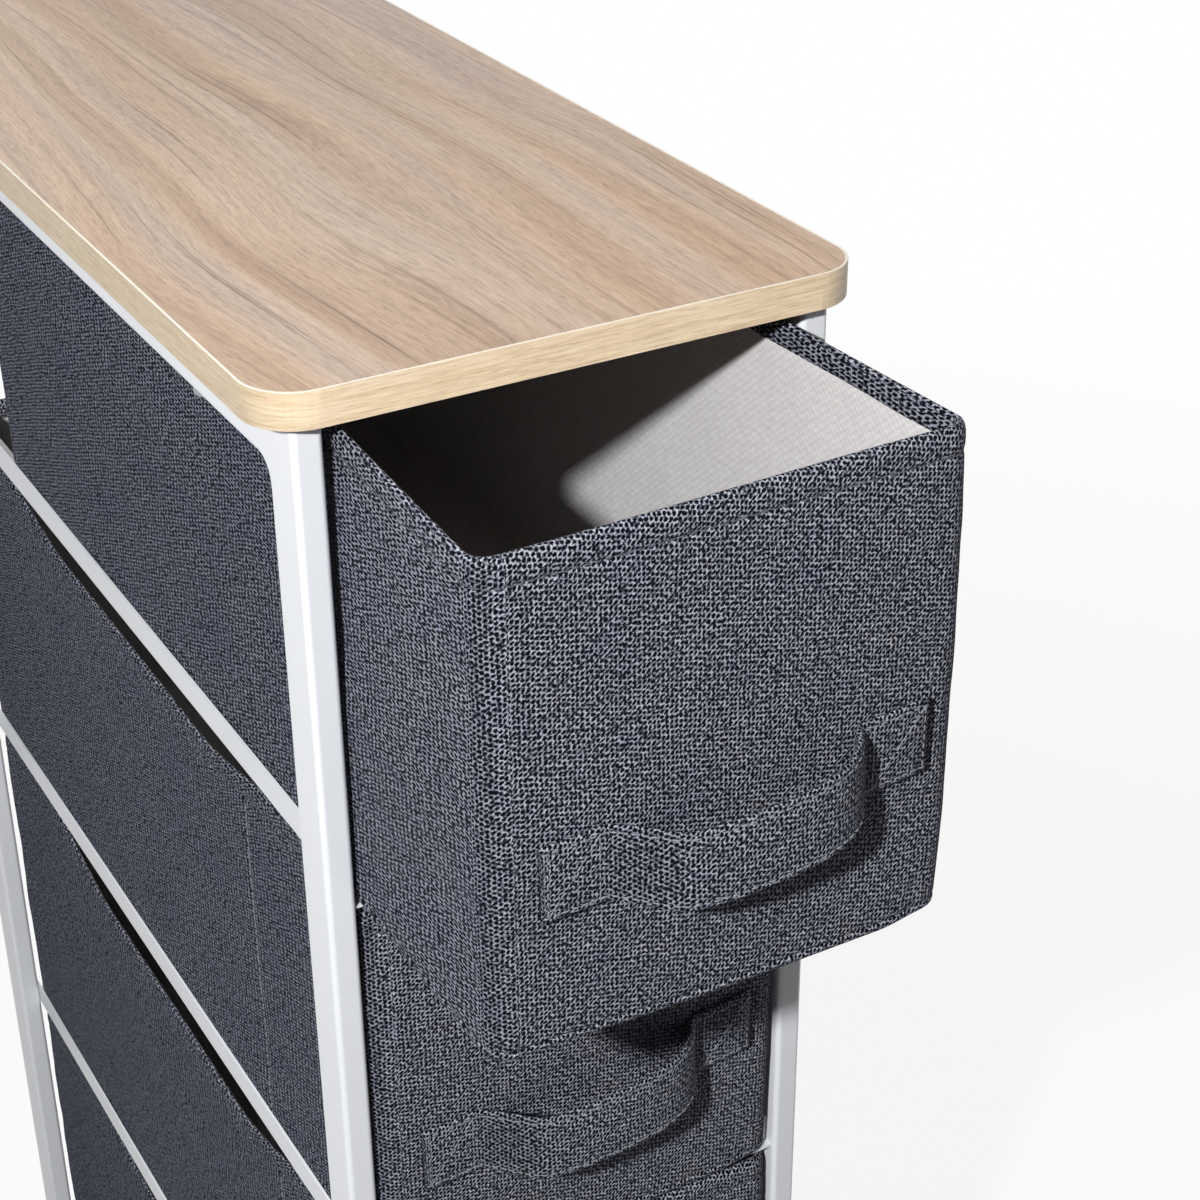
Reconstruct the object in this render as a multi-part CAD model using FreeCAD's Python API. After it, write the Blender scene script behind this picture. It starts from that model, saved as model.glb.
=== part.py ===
import FreeCAD, Part
import os

# A drawer storage tower: a wooden top on two white steel side frames, and fabric
# drawers that slide on runners folded from sheet steel.
# X is across the tower, -Y is its front and +Z is up, in millimetres. The origin is on
# the floor, under the middle of the box that the part fills at rest.

# Wooden top
board_width = 205.0
board_depth = 480.0
board_thickness = 12.0
board_corner_radius = 18.0
band_thickness = 1.0

# Rectangular steel tube of the side frames and cross bars
tube_width = 10.0
tube_depth = 20.0
tube_wall = 1.0
tube_corner_radius = 2.0
weld_radius = 8.0

# How far the top stands out past the side frames
side_overhang = 10.7
end_overhang = 6.5

# Plastic caps under the posts
cap_flange = 4.0
cap_plug = 12.0
cap_fit = 0.1

# Fabric drawers
drawer_count = 4
drawer_height = 170.0
drawer_corner_radius = 8.5
drawer_side_clearance = 1.3
drawer_back_clearance = 2.0
drawer_gap = 3.0
top_gap = 2.0
floor_clearance = 55.0
first_drawn_out = 91.6

# Layers of a drawer
fabric_thickness = 1.2
lining_thickness = 0.8
stiffener_thickness = 2.0
base_thickness = 3.0
base_fit = 0.5
hem_height = 9.0

# Strap handle, its two ends sewn flat on the drawer's front
strap_width = 26.0
strap_thickness = 2.4
strap_span = 92.0
strap_reach = 20.0
patch_length = 20.0
strap_drop = 105.5

# Runners
runner_sheet = 1.0
runner_bend = 1.5
runner_height = 12.0
runner_setback = 6.0
lip_width = 9.0
lip_setback = 2.0
carry_clearance = 0.3
stop_height = 3.0
stop_clearance = 0.5

# Cross bars, closed at their ends by threaded plates
end_plate = 3.0
bar_clearance = 2.0
upper_bar_drop = 60.0

# Bolts through the posts into the cross bars
bolt_radius = 2.5
bolt_head_radius = 4.5
bolt_head_height = 2.6
bolt_head_round = 1.2
bolt_overrun = 1.0
socket_radius = 1.7
socket_depth = 1.5

# Screws through the top side rails into the board
screw_radius = 2.0
screw_head_radius = 4.0
screw_head_height = 3.0
screw_head_round = 1.4
screw_bite = 9.0
screw_inset = 88.0
recess_length = 4.4
recess_width = 0.9
recess_depth = 1.3

# Holes
hole_clearance = 0.2
thread_clearance = 0.05
pilot_overrun = 0.5

# Heights above the floor
drawer_pitch = drawer_height + drawer_gap
first_base = floor_clearance + (drawer_count - 1) * drawer_pitch
board_bottom = first_base + drawer_height + top_gap
board_top = board_bottom + board_thickness
lip_underside = floor_clearance - carry_clearance - runner_sheet
lower_bar_top = lip_underside - bar_clearance
upper_bar_top = board_bottom - upper_bar_drop

# Places across the tower
frame_outside = board_width / 2 - side_overhang
frame_inside = frame_outside - tube_width
tube_centre_x = frame_outside - tube_width / 2
drawer_half = frame_inside - drawer_side_clearance

# Places along the tower, measured from the middle of the top
frame_front = -board_depth / 2 + end_overhang
frame_back = -frame_front
post_centre_y = frame_back - tube_depth / 2
rail_end_y = frame_back - tube_depth
drawer_back = post_centre_y - tube_width / 2 - drawer_back_clearance
stop_y = drawer_back + stop_clearance
rest_front = frame_front - first_drawn_out - strap_reach
origin_y = (rest_front + board_depth / 2) / 2

# Inner faces of a drawer's layers, as distances in from its outer faces
stiffener_inset = fabric_thickness + stiffener_thickness
base_inset = stiffener_inset + base_fit
base_top = fabric_thickness + base_thickness
lining_floor = base_top + lining_thickness
cavity_radius = drawer_corner_radius - fabric_thickness
lining_radius = cavity_radius - lining_thickness
mouth_radius = cavity_radius - fabric_thickness


def vec(x, y, z=0.0):
    return FreeCAD.Vector(x, y, z)


def block(x, y, z):
    """A box between two X, two Y and two Z values."""
    corner = vec(min(x), min(y), min(z))
    return Part.makeBox(abs(x[1] - x[0]), abs(y[1] - y[0]), abs(z[1] - z[0]), corner)


def rounded_face(x, y, z, radius):
    """A level rectangle at height z whose four corners are quarter circles."""
    x0, x1 = min(x), max(x)
    y0, y1 = min(y), max(y)
    bulge = radius * (1 - 0.5**0.5)
    corners = [
        (vec(x1 - radius, y0, z), vec(x1 - bulge, y0 + bulge, z), vec(x1, y0 + radius, z)),
        (vec(x1, y1 - radius, z), vec(x1 - bulge, y1 - bulge, z), vec(x1 - radius, y1, z)),
        (vec(x0 + radius, y1, z), vec(x0 + bulge, y1 - bulge, z), vec(x0, y1 - radius, z)),
        (vec(x0, y0 + radius, z), vec(x0 + bulge, y0 + bulge, z), vec(x0 + radius, y0, z)),
    ]
    edges = []
    for (start, middle, end), following in zip(corners, corners[1:] + corners[:1]):
        edges.append(Part.Arc(start, middle, end).toShape())
        edges.append(Part.LineSegment(end, following[0]).toShape())
    return Part.Face(Part.Wire(edges))


def rounded_block(x, y, z, radius):
    """A box whose upright edges are rounded."""
    return rounded_face(x, y, min(z), radius).extrude(vec(0, 0, abs(z[1] - z[0])))


def side_prism(points, x0, x1):
    """A polygon of (y, z) points, extruded across the tower from x0 to x1."""
    loop = [vec(x0, y, z) for y, z in points]
    face = Part.Face(Part.makePolygon(loop + loop[:1]))
    return face.extrude(vec(x1 - x0, 0, 0))


def mirrored_left(shape):
    return shape.mirror(vec(0, 0, 0), vec(1, 0, 0))


def mirrored_back(shape):
    return shape.mirror(vec(0, 0, 0), vec(0, 1, 0))


def upright_tube(length):
    """Tube standing on z = 0, its narrow side across the tower."""
    x, y = tube_width / 2, tube_depth / 2
    outside = rounded_block((-x, x), (-y, y), (0, length), tube_corner_radius)
    x, y = x - tube_wall, y - tube_wall
    inside = rounded_block((-x, x), (-y, y), (0, length), tube_corner_radius - tube_wall)
    return outside.cut(inside)


def hole_along_x(y, z, radius):
    """Cylinder across the whole right-hand side frame and a cross bar's end."""
    start = frame_inside - 2 * end_plate
    return Part.makeCylinder(radius, frame_outside - start + end_plate, vec(start, y, z), vec(1, 0, 0))


def corner_of_mitre(under):
    """The triangle beside the 45 degree joint at the front top corner of a side frame."""
    front, back = frame_front, frame_front + tube_depth
    top, bottom = board_bottom, board_bottom - tube_depth
    square = (front, bottom) if under else (back, top)
    points = [(front, top), square, (back, bottom)]
    return side_prism(points, frame_inside, frame_outside)


def bolt_heights(is_front):
    """Heights of the cross bars' middles on the front or the back posts."""
    lower = lower_bar_top - tube_depth / 2
    return [lower] if is_front else [lower, upper_bar_top - tube_depth / 2]


def top_board():
    """The wooden panel inside its edge band, with blind holes for the screws."""
    x = board_width / 2 - band_thickness
    y = board_depth / 2 - band_thickness
    radius = board_corner_radius - band_thickness
    board = rounded_block((-x, x), (-y, y), (board_bottom, board_top), radius)
    for at_x, at_y in screw_places():
        start = vec(at_x, at_y, board_bottom)
        board = board.cut(Part.makeCylinder(screw_radius + thread_clearance, screw_bite + pilot_overrun, start))
    return board


def edge_band():
    """The thin band glued round the board's edge."""
    x, y = board_width / 2, board_depth / 2
    outside = rounded_block((-x, x), (-y, y), (board_bottom, board_top), board_corner_radius)
    x, y = x - band_thickness, y - band_thickness
    radius = board_corner_radius - band_thickness
    return outside.cut(rounded_block((-x, x), (-y, y), (board_bottom, board_top), radius))


def front_post():
    """Right front post, mitred at its top; its bolt hole takes the lower cross bar."""
    post = upright_tube(board_bottom - cap_flange)
    post.translate(vec(tube_centre_x, -post_centre_y, cap_flange))
    post = post.cut(corner_of_mitre(under=False))
    for z in bolt_heights(is_front=True):
        post = post.cut(hole_along_x(-post_centre_y, z, bolt_radius + hole_clearance))
    return post


def back_post():
    """Right back post, with a second bolt hole for the upper cross bar."""
    post = upright_tube(board_bottom - cap_flange)
    post.translate(vec(tube_centre_x, -post_centre_y, cap_flange))
    post = mirrored_back(post.cut(corner_of_mitre(under=False)))
    for z in bolt_heights(is_front=False):
        post = post.cut(hole_along_x(post_centre_y, z, bolt_radius + hole_clearance))
    return post


def weld_fillet():
    """Rounded weld in the front inner corner under the top side rail."""
    y, z, r = -rail_end_y, board_bottom - tube_depth, weld_radius
    x0 = frame_inside + tube_corner_radius
    x1 = frame_outside - tube_corner_radius
    slack = r * (1 - 0.5**0.5)
    arc = Part.Arc(vec(x0, y, z - r), vec(x0, y + slack, z - slack), vec(x0, y + r, z))
    legs = Part.makePolygon([vec(x0, y + r, z), vec(x0, y, z), vec(x0, y, z - r)])
    face = Part.Face(Part.Wire([arc.toShape()] + legs.Edges))
    return face.extrude(vec(x1 - x0, 0, 0))


def top_rail():
    """Right top side rail, mitred into both posts, with holes for its two screws."""
    rail = upright_tube(frame_back - frame_front)
    rail.rotate(vec(0, 0, 0), vec(1, 0, 0), -90)
    rail.translate(vec(tube_centre_x, frame_front, board_bottom - tube_depth / 2))
    corner = corner_of_mitre(under=True)
    rail = rail.cut(corner).cut(mirrored_back(corner))
    for y in (screw_inset - board_depth / 2, board_depth / 2 - screw_inset):
        start = vec(tube_centre_x, y, board_bottom - tube_depth)
        rail = rail.cut(Part.makeCylinder(screw_radius + hole_clearance, tube_depth, start))
    fillet = weld_fillet()
    return rail.fuse([fillet, mirrored_back(fillet)]).removeSplitter()


def runner(base_z):
    """Right runner of the drawer whose underside is at base_z.

    It is a folded steel angle, welded to the inner faces of both posts. Its upright leg
    shows between the posts. Its lip carries the drawer, reaches further to the front
    than the leg and is turned up at the back as a stop.
    """
    s = runner_sheet
    low = base_z - carry_clearance - s
    web = frame_inside
    lip_end = web - lip_width
    outline = [
        (web, low),
        (web, low + runner_height),
        (web - s, low + runner_height),
        (web - s, low + s),
        (lip_end, low + s),
        (lip_end, low),
    ]
    reach = frame_back - runner_setback
    loop = [vec(x, -reach, z) for x, z in outline]
    body = Part.Face(Part.makePolygon(loop + loop[:1])).extrude(vec(0, 2 * reach, 0))
    bend = [edge for edge in body.Edges if is_along_y(edge) and is_at(edge, web, low)]
    body = body.makeFillet(runner_bend, bend)
    tip = block((lip_end, web), (frame_front + lip_setback, -reach), (low, low + s))
    stop = block((lip_end, web - s), (stop_y, stop_y + s), (low, low + s + stop_height))
    return body.fuse([tip, stop]).removeSplitter()


def is_along_y(edge):
    start, end = edge.Vertexes[0].Point, edge.Vertexes[-1].Point
    return abs(end.y - start.y) > 1.0


def is_at(edge, x, z):
    """Whether an edge starts at that place across the tower and that height."""
    point = edge.Vertexes[0].Point
    return abs(point.x - x) + abs(point.z - z) < 0.01


def cross_bar(centre_y, top_z):
    """Tube between the posts with a plate in each end, threaded for a bolt."""
    length = 2 * frame_inside
    bar = upright_tube(length)
    bar.rotate(vec(0, 0, 0), vec(1, 1, 1), 120)
    plate = rounded_block(
        (-tube_width / 2, tube_width / 2),
        (-tube_depth / 2, tube_depth / 2),
        (0, end_plate),
        tube_corner_radius,
    )
    plate.rotate(vec(0, 0, 0), vec(1, 1, 1), 120)
    far_plate = plate.copy()
    far_plate.translate(vec(length - end_plate, 0, 0))
    bar = bar.fuse([plate, far_plate]).removeSplitter()
    bar.translate(vec(-frame_inside, centre_y, top_z - tube_depth / 2))
    hole = hole_along_x(centre_y, top_z - tube_depth / 2, bolt_radius + thread_clearance)
    return bar.cut([hole, mirrored_left(hole)])


def foot_cap():
    """Right front foot: a flange under the post and a plug inside it."""
    x, y = tube_width / 2, tube_depth / 2
    flange = rounded_block((-x, x), (-y, y), (0, cap_flange), tube_corner_radius)
    x, y = x - tube_wall - cap_fit, y - tube_wall - cap_fit
    plug = rounded_block((-x, x), (-y, y), (0, cap_flange + cap_plug), tube_corner_radius - tube_wall)
    cap = flange.fuse(plug).removeSplitter()
    cap.translate(vec(tube_centre_x, -post_centre_y, 0))
    return cap


def domed_head(radius, height, rounding):
    """Screw head on z = 0 that reaches down to -height, its outer rim rounded."""
    head = Part.makeCylinder(radius, height, vec(0, 0, -height))
    rim = [edge for edge in head.Edges if edge.BoundBox.ZMax < -0.9 * height]
    return head.makeFillet(min(rounding, 0.9 * height), rim)


def board_screw(x, y):
    """Pan-head screw from under the top side rail up into the board."""
    head = domed_head(screw_head_radius, screw_head_height, screw_head_round)
    half, width = recess_length / 2, recess_width / 2
    depth = (-screw_head_height, recess_depth - screw_head_height)
    head = head.cut([block((-half, half), (-width, width), depth), block((-width, width), (-half, half), depth)])
    screw = head.fuse(Part.makeCylinder(screw_radius, tube_depth + screw_bite))
    screw.translate(vec(x, y, board_bottom - tube_depth))
    return screw.removeSplitter()


def bar_bolt(y, z):
    """Button-head bolt from the right post's outer face into a cross bar's end plate."""
    head = domed_head(bolt_head_radius, bolt_head_height, bolt_head_round)
    socket_corner = Part.makePolygon(
        [rotated(socket_radius, 60 * turn, -bolt_head_height) for turn in range(6)]
        + [rotated(socket_radius, 0, -bolt_head_height)]
    )
    head = head.cut(Part.Face(socket_corner).extrude(vec(0, 0, socket_depth)))
    bolt = head.fuse(Part.makeCylinder(bolt_radius, tube_width + end_plate + bolt_overrun))
    bolt.rotate(vec(0, 0, 0), vec(0, 1, 0), -90)
    bolt.translate(vec(frame_outside, y, z))
    return bolt.removeSplitter()


def rotated(radius, degrees, z):
    """Point at a radius and an angle about the Z axis."""
    return FreeCAD.Rotation(vec(0, 0, 1), degrees).multVec(vec(radius, 0, z))


def screw_places():
    y = board_depth / 2 - screw_inset
    return [(side * tube_centre_x, end * y) for side in (-1, 1) for end in (-1, 1)]


def shell_span(inset_x, inset_y):
    """X and Y spans of a closed drawer's layer that lies that far in from its outer faces."""
    x = drawer_half - inset_x
    return (-x, x), (frame_front + inset_y, drawer_back - inset_y)


def stiffener(base_z, is_front):
    """Cardboard plate inside the front or the back wall, up to the fold of the hem."""
    half = drawer_half - drawer_corner_radius
    z = (base_z + fabric_thickness, base_z + drawer_height - fabric_thickness)
    outer, inner = frame_front + fabric_thickness, frame_front + stiffener_inset
    if not is_front:
        outer, inner = drawer_back - fabric_thickness, drawer_back - stiffener_inset
    return block((-half, half), (outer, inner), z)


def cover(base_z):
    """Outer fabric: four walls and a floor, its top turned over inwards as a hem."""
    top = base_z + drawer_height
    x, y = shell_span(0, 0)
    shell = rounded_block(x, y, (base_z, top), drawer_corner_radius)
    x, y = shell_span(fabric_thickness, fabric_thickness)
    cavity = rounded_block(x, y, (base_z + fabric_thickness, top - hem_height), cavity_radius)
    x, y = shell_span(2 * fabric_thickness, stiffener_inset + fabric_thickness)
    mouth = rounded_block(x, y, (base_z + lining_floor, top), mouth_radius)
    return shell.cut([cavity, mouth, stiffener(base_z, True), stiffener(base_z, False)])


def base(base_z):
    """Removable board that keeps the drawer's floor flat."""
    x, y = shell_span(fabric_thickness + base_fit, base_inset)
    return rounded_block(x, y, (base_z + fabric_thickness, base_z + base_top), cavity_radius)


def lining(base_z):
    """Thin inner skin over the base, the walls and the stiffeners, up to the hem."""
    top = base_z + drawer_height - hem_height
    x, y = shell_span(fabric_thickness, stiffener_inset)
    skin = rounded_block(x, y, (base_z + base_top, top), cavity_radius)
    x, y = shell_span(fabric_thickness + lining_thickness, stiffener_inset + lining_thickness)
    return skin.cut(rounded_block(x, y, (base_z + lining_floor, top), lining_radius))


def handle(base_z):
    """Strap bowed out of the front between two flat sewn ends."""
    half = strap_span / 2
    rise = strap_reach - strap_thickness
    inner_radius = (half**2 + rise**2) / (2 * rise)
    outer_radius = inner_radius + strap_thickness
    centre = inner_radius - rise
    outer_half = (outer_radius**2 - (centre + strap_thickness) ** 2) ** 0.5
    end, flat = half + patch_length, -strap_thickness
    inner = Part.Arc(vec(-half, 0), vec(0, -rise), vec(half, 0))
    outer = Part.Arc(vec(outer_half, flat), vec(0, -strap_reach), vec(-outer_half, flat))
    right = Part.makePolygon([vec(half, 0), vec(end, 0), vec(end, flat), vec(outer_half, flat)])
    left = Part.makePolygon([vec(-outer_half, flat), vec(-end, flat), vec(-end, 0), vec(-half, 0)])
    outline = Part.Wire([inner.toShape()] + right.Edges + [outer.toShape()] + left.Edges)
    strap = Part.Face(outline).extrude(vec(0, 0, strap_width))
    middle = base_z + drawer_height - strap_drop
    strap.translate(vec(0, frame_front, middle - strap_width / 2))
    return strap


def export(node, shape):
    """Move a piece from the top's middle to the part's origin, test it and write it."""
    placed = shape.copy()
    placed.translate(vec(0, -origin_y, 0))
    if not placed.isValid() or len(placed.Solids) != 1:
        raise ValueError(f"{node} isn't one valid solid")
    box = placed.BoundBox
    print(
        f"{node}: X {box.XMin:.1f} to {box.XMax:.1f}, Y {box.YMin:.1f} to {box.YMax:.1f},"
        f" Z {box.ZMin:.1f} to {box.ZMax:.1f}, {placed.Volume / 1000:.1f} cm3"
    )
    placed.exportStep(f"parts/{node}.step")


def export_frame():
    export("top_board", top_board())
    export("edge_band", edge_band())
    bars = {
        "front_lower_bar": cross_bar(-post_centre_y, lower_bar_top),
        "back_lower_bar": cross_bar(post_centre_y, lower_bar_top),
        "back_upper_bar": cross_bar(post_centre_y, upper_bar_top),
    }
    for name, bar in bars.items():
        export(name, bar)
    right_pieces = {
        "front_post": front_post(),
        "back_post": back_post(),
        "top_rail": top_rail(),
        "front_foot": foot_cap(),
        "back_foot": mirrored_back(foot_cap()),
        "front_lower_bolt": bar_bolt(-post_centre_y, bolt_heights(is_front=True)[0]),
        "back_lower_bolt": bar_bolt(post_centre_y, bolt_heights(is_front=False)[0]),
        "back_upper_bolt": bar_bolt(post_centre_y, bolt_heights(is_front=False)[1]),
    }
    for name, piece in right_pieces.items():
        export(f"{name}_right", piece)
        export(f"{name}_left", mirrored_left(piece))
    names = ["front_left", "back_left", "front_right", "back_right"]
    for name, (x, y) in zip(names, screw_places()):
        export(f"board_screw_{name}", board_screw(x, y))


def export_drawer(number):
    base_z = first_base - (number - 1) * drawer_pitch
    right_runner = runner(base_z)
    export(f"runner_{number}_right", right_runner)
    export(f"runner_{number}_left", mirrored_left(right_runner))
    pieces = {
        "cover": cover(base_z),
        "lining": lining(base_z),
        "front_stiffener": stiffener(base_z, True),
        "back_stiffener": stiffener(base_z, False),
        "base": base(base_z),
        "handle": handle(base_z),
    }
    drawn_out = first_drawn_out if number == 1 else 0.0
    for name, piece in pieces.items():
        piece.translate(vec(0, -drawn_out, 0))
        export(f"drawer_{number}_{name}", piece)


os.makedirs("parts", exist_ok=True)
export_frame()
for number in range(1, drawer_count + 1):
    export_drawer(number)
print(f"top of the board {board_top:.1f}, origin {origin_y:.2f} behind the middle of the top")
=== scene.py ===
import math

import bpy
from mathutils import Matrix, Vector, noise


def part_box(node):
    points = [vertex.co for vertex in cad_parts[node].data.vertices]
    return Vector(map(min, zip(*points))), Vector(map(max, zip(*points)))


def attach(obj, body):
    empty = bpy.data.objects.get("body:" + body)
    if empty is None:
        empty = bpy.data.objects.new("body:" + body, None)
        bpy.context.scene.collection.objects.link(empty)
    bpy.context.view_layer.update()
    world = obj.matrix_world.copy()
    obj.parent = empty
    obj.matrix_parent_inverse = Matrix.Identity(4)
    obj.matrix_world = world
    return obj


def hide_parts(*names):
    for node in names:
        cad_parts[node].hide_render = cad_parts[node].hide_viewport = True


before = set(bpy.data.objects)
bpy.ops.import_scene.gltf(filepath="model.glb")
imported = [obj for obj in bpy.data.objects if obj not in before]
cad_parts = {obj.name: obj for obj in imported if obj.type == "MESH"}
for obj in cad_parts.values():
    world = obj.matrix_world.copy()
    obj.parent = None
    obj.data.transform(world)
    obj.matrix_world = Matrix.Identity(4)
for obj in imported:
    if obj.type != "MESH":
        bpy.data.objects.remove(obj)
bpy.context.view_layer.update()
MM = 0.001

# Soft drawers, in millimetres
DRAWER_HALF = 80.5
DRAWER_LENGTH = 450.0
DRAWER_HEIGHT = 170.0
CORNER = 8.5

# Spacing of a skin's points along its ends and its sides
END_STEP = 3.2
SIDE_STEP = 5.0

# Groove below the hem, from the drawer's floor
HEM_LINE = 160.9

# Upright seam on each long side, from the drawer's front
SEAM = 103.5

# The cloth is drawn out lengthwise on the long sides, and its rows lie closer there
SIDE_STRETCH = 0.5
SIDE_ROWS = 1.1

# How far each drawer's long sides bow in and their top edges sag, in the middle
BOW = {1: 6.0, 2: 1.0, 3: 1.2, 4: 1.0}
SAG = {1: 3.0, 2: 13.3, 3: 19.5, 4: 12.0}

# Where the slack of the lower drawers' long sides sets in and where it is full, from either end
SLACK_START = 59.0
SLACK_FULL = 152.0

# How far the left and right top corners of each front have settled
TOP_DROP = {1: (3.6, 1.6), 2: (0.8, 1.0), 3: (1.0, 0.8), 4: (0.8, 0.8)}

# How far the softness at a front or back wall reaches along the long sides
END_REACH = 22.0

# Strap handle: half its height, its seams from its edges, its thickness, and its middle below the top
STRAP_HALF = 13.0
STRAP_SEAM = 2.1
STRAP_THICK = 2.4
STRAP_DROP = 105.5

# How far its sewn ends stand out, how far its free part leans back, its droop and its slope to the right
STRAP_SEWN = 1.4
STRAP_LEAN = math.radians(3.7)
STRAP_DROOP = 1.7
STRAP_SLOPE = 0.064

# Rounding of the welds under the top rails, of the tubes' own edges and of the welds' edges inside them
WELD = 7.0
TUBE_EDGE = 1.7
WELD_EDGE = 1.65
RAIL_HEIGHT = 20.0

# Camera, in metres, worked out from the photograph's straight edges
LENS = 72.7
CAMERA_PLACE = (-0.3203, -0.76495, 1.0358)
CAMERA_FORWARD = (0.4277, 0.7610, -0.4880)
CAMERA_UP = (0.2477, 0.4205, 0.8729)

# Small lamp whose shadows match the photograph's
KEY_PLACE = (-0.804, -0.887, 1.320)
KEY_POWER = 87.0
KEY_RADIUS = 0.03

# Weak wide lamps: name, strength and the way that the light goes
WIDE_LAMPS = (
    ("overhead", 1.6, (0.1, -1.0, -0.9)),
    ("fill", 0.8, (-1.0, 0.0, -0.06)),
)
WIDE_ANGLE = math.radians(12)

# Strength of the light from all round
SOFT_LIGHT = 0.06

# How white the floor looks: near the object, its rise for each metre, and the rise's start
FLOOR_NEAR = 0.86
FLOOR_RISE = 0.12
FLOOR_START = 0.78
FLOOR_BLEND = 0.03


# Camera and light


def make_camera():
    data = bpy.data.cameras.new("camera")
    data.sensor_width = 36.0
    data.lens = LENS
    data.clip_start = 0.05
    camera = bpy.data.objects.new("camera", data)
    bpy.context.scene.collection.objects.link(camera)
    forward = Vector(CAMERA_FORWARD).normalized()
    right = forward.cross(Vector(CAMERA_UP)).normalized()
    up = right.cross(forward)
    turned = Matrix((right, up, -forward)).transposed().to_4x4()
    camera.matrix_world = Matrix.Translation(CAMERA_PLACE) @ turned
    bpy.context.scene.camera = camera


def add_lamps():
    """A small lamp at the camera's left, and weak wide ones from behind and above and from the right."""
    data = bpy.data.lights.new("key", "POINT")
    data.energy = KEY_POWER
    data.shadow_soft_size = KEY_RADIUS
    lamp = bpy.data.objects.new("key", data)
    lamp.location = KEY_PLACE
    bpy.context.scene.collection.objects.link(lamp)
    for name, energy, way in WIDE_LAMPS:
        data = bpy.data.lights.new(name, "SUN")
        data.energy = energy
        data.angle = WIDE_ANGLE
        lamp = bpy.data.objects.new(name, data)
        lamp.rotation_euler = Vector(way).to_track_quat("-Z", "Y").to_euler()
        bpy.context.scene.collection.objects.link(lamp)


def seen_directly(tree):
    """1 for rays from the camera, and for those mirrored or let through on their way."""
    path = tree.nodes.new("ShaderNodeLightPath")
    glossy = calc(tree, "MAXIMUM", path.outputs["Is Camera Ray"], path.outputs["Is Glossy Ray"])
    return calc(tree, "MAXIMUM", glossy, path.outputs["Is Transmission Ray"])


def make_world():
    """White where it is seen, and a weak light from all round elsewhere."""
    world = bpy.data.worlds.new("studio")
    bpy.context.scene.world = world
    world.use_nodes = True
    tree = world.node_tree
    tree.nodes.clear()
    soft = tree.nodes.new("ShaderNodeBackground")
    soft.inputs["Strength"].default_value = SOFT_LIGHT
    plain = tree.nodes.new("ShaderNodeBackground")
    for background in (soft, plain):
        background.inputs["Color"].default_value = (1, 1, 1, 1)
    mix = tree.nodes.new("ShaderNodeMixShader")
    tree.links.new(seen_directly(tree), mix.inputs[0])
    tree.links.new(soft.outputs[0], mix.inputs[1])
    tree.links.new(plain.outputs[0], mix.inputs[2])
    out = tree.nodes.new("ShaderNodeOutputWorld")
    tree.links.new(mix.outputs[0], out.inputs[0])


def make_floor():
    """Pale floor that keeps the object's shadow and turns white further off."""
    size = 14.0
    corners = [(-size, -size, 0), (size, -size, 0), (size, size, 0), (-size, size, 0)]
    floor = mesh_object("floor", corners, [(0, 1, 2, 3)])
    material = bpy.data.materials.new("floor")
    material.use_nodes = True
    tree = material.node_tree
    tree.nodes.clear()
    seen = seen_directly(tree)
    matte = tree.nodes.new("ShaderNodeBsdfDiffuse")
    tree.links.new(mix_colour(tree, seen, (0.2, 0.2, 0.2), (0.9, 0.9, 0.9)), matte.inputs["Color"])
    pale = tree.nodes.new("ShaderNodeEmission")
    mix = tree.nodes.new("ShaderNodeMixShader")
    reach = vector_calc(tree, "LENGTH", object_place(tree, (MM, MM, MM))).outputs["Value"]
    rising = calc(tree, "MULTIPLY_ADD", reach, FLOOR_RISE, FLOOR_START)
    white = calc(tree, "MINIMUM", calc(tree, "SMOOTH_MAX", rising, FLOOR_NEAR, FLOOR_BLEND), 1.0)
    tree.links.new(calc(tree, "MULTIPLY", seen, white), mix.inputs[0])
    tree.links.new(matte.outputs[0], mix.inputs[1])
    tree.links.new(pale.outputs[0], mix.inputs[2])
    out = tree.nodes.new("ShaderNodeOutputMaterial")
    tree.links.new(mix.outputs[0], out.inputs[0])
    floor.data.materials.append(material)


def make_surroundings():
    make_world()
    make_floor()
    add_lamps()
    bpy.context.scene.view_settings.view_transform = "Standard"


# Small helpers for materials


def feed(tree, socket, value):
    """Link an input to another node's output, or set its plain value. None leaves it as it is."""
    if isinstance(value, bpy.types.NodeSocket):
        tree.links.new(value, socket)
    elif value is not None:
        socket.default_value = value


def calc(tree, operation, a, b=None, c=None):
    """A maths node on sockets or plain numbers."""
    node = tree.nodes.new("ShaderNodeMath")
    node.operation = operation
    for socket, value in zip(node.inputs, (a, b, c)):
        feed(tree, socket, value)
    return node.outputs[0]


def vector_calc(tree, operation, a, b=None):
    """A vector maths node on sockets or plain vectors."""
    node = tree.nodes.new("ShaderNodeVectorMath")
    node.operation = operation
    for socket, value in zip(node.inputs, (a, b)):
        feed(tree, socket, value)
    return node


def apart(tree, vector):
    """The X, Y and Z outputs of a vector."""
    node = tree.nodes.new("ShaderNodeSeparateXYZ")
    tree.links.new(vector, node.inputs[0])
    return node.outputs


def new_material(name, roughness):
    material = bpy.data.materials.new(name)
    material.use_nodes = True
    tree = material.node_tree
    shader = tree.nodes["Principled BSDF"]
    shader.inputs["Roughness"].default_value = roughness
    return material, tree, shader


def object_place(tree, scale):
    """Place on the object in millimetres times a scale for each axis."""
    place = tree.nodes.new("ShaderNodeTexCoord")
    mapping = tree.nodes.new("ShaderNodeMapping")
    mapping.inputs["Scale"].default_value = [1000 * value for value in scale]
    tree.links.new(place.outputs["Object"], mapping.inputs["Vector"])
    return mapping.outputs["Vector"]


def cloth_place(tree):
    """Place on the cloth in millimetres, along and across its threads."""
    node = tree.nodes.new("ShaderNodeUVMap")
    node.uv_map = "cloth"
    return node.outputs["UV"]


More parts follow.
